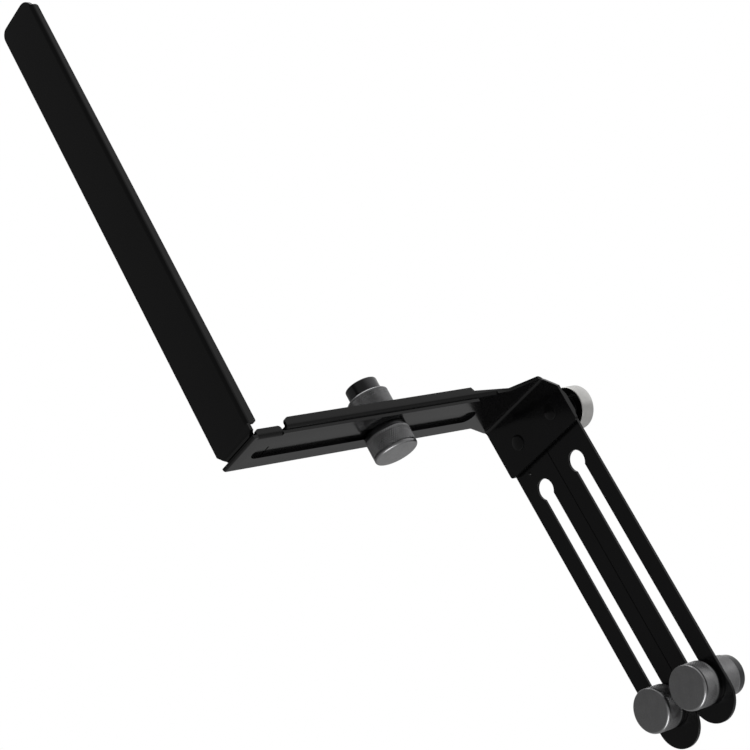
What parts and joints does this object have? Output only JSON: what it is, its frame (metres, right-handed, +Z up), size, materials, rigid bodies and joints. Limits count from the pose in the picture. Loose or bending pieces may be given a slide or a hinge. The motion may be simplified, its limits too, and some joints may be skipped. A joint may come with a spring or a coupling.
{
  "type": "music stand bracket",
  "caption": "Black sheet-steel stand bracket: tall support strip on a slotted sliding arm, front plate with swinging slotted legs and knurled clamp screws.",
  "frame": {"origin": "on the front plate's front face, at the height of the leg pivots, in line with the gap between the legs", "axes": "+X along the arm from the support strip to the legs, +Y across the bracket, +Z up along the strip"},
  "size_m": [0.1777, 0.0494, 0.3898],
  "materials": {
    "black_sheet": "satin",
    "black_hardware": "gloss",
    "plated_steel": "satin"
  },
  "bodies": {
    "bracket": {"bracket_arm": "black_sheet", "pivot_screw_left": "black_hardware", "pivot_spacer_left": "plated_steel", "pivot_washer_left": "plated_steel", "pivot_screw_right": "black_hardware", "pivot_spacer_right": "plated_steel", "pivot_washer_right": "plated_steel", "arm_clamp_front_washer": "black_hardware", "arm_clamp_rear_washer": "black_hardware"},
    "strip_arm": {"slotted_arm": "black_sheet", "support_strip": "black_sheet"},
    "arm_clamp_screw": {"arm_clamp_knob": "black_hardware", "arm_clamp_screw": "black_hardware"},
    "arm_clamp_nut": {"arm_clamp_nut": "black_hardware"},
    "leg_left": {"leg_left": "black_sheet"},
    "pivot_nut_left": {"pivot_nut_left": "plated_steel"},
    "leg_left_clamp_slider": {"leg_left_clamp_front_washer": "black_hardware", "leg_left_clamp_rear_washer": "black_hardware"},
    "leg_left_clamp_screw": {"leg_left_clamp_knob": "black_hardware", "leg_left_clamp_screw": "black_hardware"},
    "leg_left_clamp_nut": {"leg_left_clamp_nut": "black_hardware"},
    "leg_right": {"leg_right": "black_sheet"},
    "pivot_nut_right": {"pivot_nut_right": "plated_steel"},
    "leg_right_clamp_slider": {"leg_right_clamp_front_washer": "black_hardware", "leg_right_clamp_rear_washer": "black_hardware"},
    "leg_right_clamp_screw": {"leg_right_clamp_knob": "black_hardware", "leg_right_clamp_screw": "black_hardware"},
    "leg_right_clamp_nut": {"leg_right_clamp_nut": "black_hardware"}
  },
  "joints": [
    {"name": "arm_slide", "type": "slide", "parent": "bracket", "child": "strip_arm", "axis": [-1, 0, 0], "range_m": [0, 0.045]},
    {"name": "arm_clamp_screw_turn", "type": "hinge", "parent": "bracket", "child": "arm_clamp_screw", "pos_m": [-0.0793, 0.0013, 0.0127], "axis": [0, 0, 1], "continuous": true},
    {"name": "arm_clamp_nut_turn", "type": "hinge", "parent": "bracket", "child": "arm_clamp_nut", "pos_m": [-0.0793, 0.0013, 0.026], "axis": [0, 0, 1], "continuous": true},
    {"name": "leg_left_swing", "type": "hinge", "parent": "bracket", "child": "leg_left", "pos_m": [0.00345, 0.00975, 0], "axis": [1, 0, 0], "range_deg": [0, 60]},
    {"name": "pivot_nut_left_turn", "type": "hinge", "parent": "bracket", "child": "pivot_nut_left", "pos_m": [0.01, 0.00975, 0], "axis": [1, 0, 0], "continuous": true},
    {"name": "leg_left_clamp_slide", "type": "slide", "parent": "leg_left", "child": "leg_left_clamp_slider", "axis": [0, 0, 1], "range_m": [0, 0.1]},
    {"name": "leg_left_clamp_screw_turn", "type": "hinge", "parent": "leg_left_clamp_slider", "child": "leg_left_clamp_screw", "pos_m": [0.00345, 0.01175, -0.1321], "axis": [1, 0, 0], "continuous": true},
    {"name": "leg_left_clamp_nut_turn", "type": "hinge", "parent": "leg_left_clamp_slider", "child": "leg_left_clamp_nut", "pos_m": [0.012, 0.01175, -0.1321], "axis": [1, 0, 0], "continuous": true},
    {"name": "leg_right_swing", "type": "hinge", "parent": "bracket", "child": "leg_right", "pos_m": [0.00345, -0.01495, 0], "axis": [-1, 0, 0], "range_deg": [0, 60]},
    {"name": "pivot_nut_right_turn", "type": "hinge", "parent": "bracket", "child": "pivot_nut_right", "pos_m": [0.01, -0.01495, 0], "axis": [1, 0, 0], "continuous": true},
    {"name": "leg_right_clamp_slide", "type": "slide", "parent": "leg_right", "child": "leg_right_clamp_slider", "axis": [0, 0, 1], "range_m": [0, 0.1]},
    {"name": "leg_right_clamp_screw_turn", "type": "hinge", "parent": "leg_right_clamp_slider", "child": "leg_right_clamp_screw", "pos_m": [0.00345, -0.01175, -0.1337], "axis": [1, 0, 0], "continuous": true},
    {"name": "leg_right_clamp_nut_turn", "type": "hinge", "parent": "leg_right_clamp_slider", "child": "leg_right_clamp_nut", "pos_m": [0.012, -0.01175, -0.1337], "axis": [1, 0, 0], "continuous": true}
  ]
}
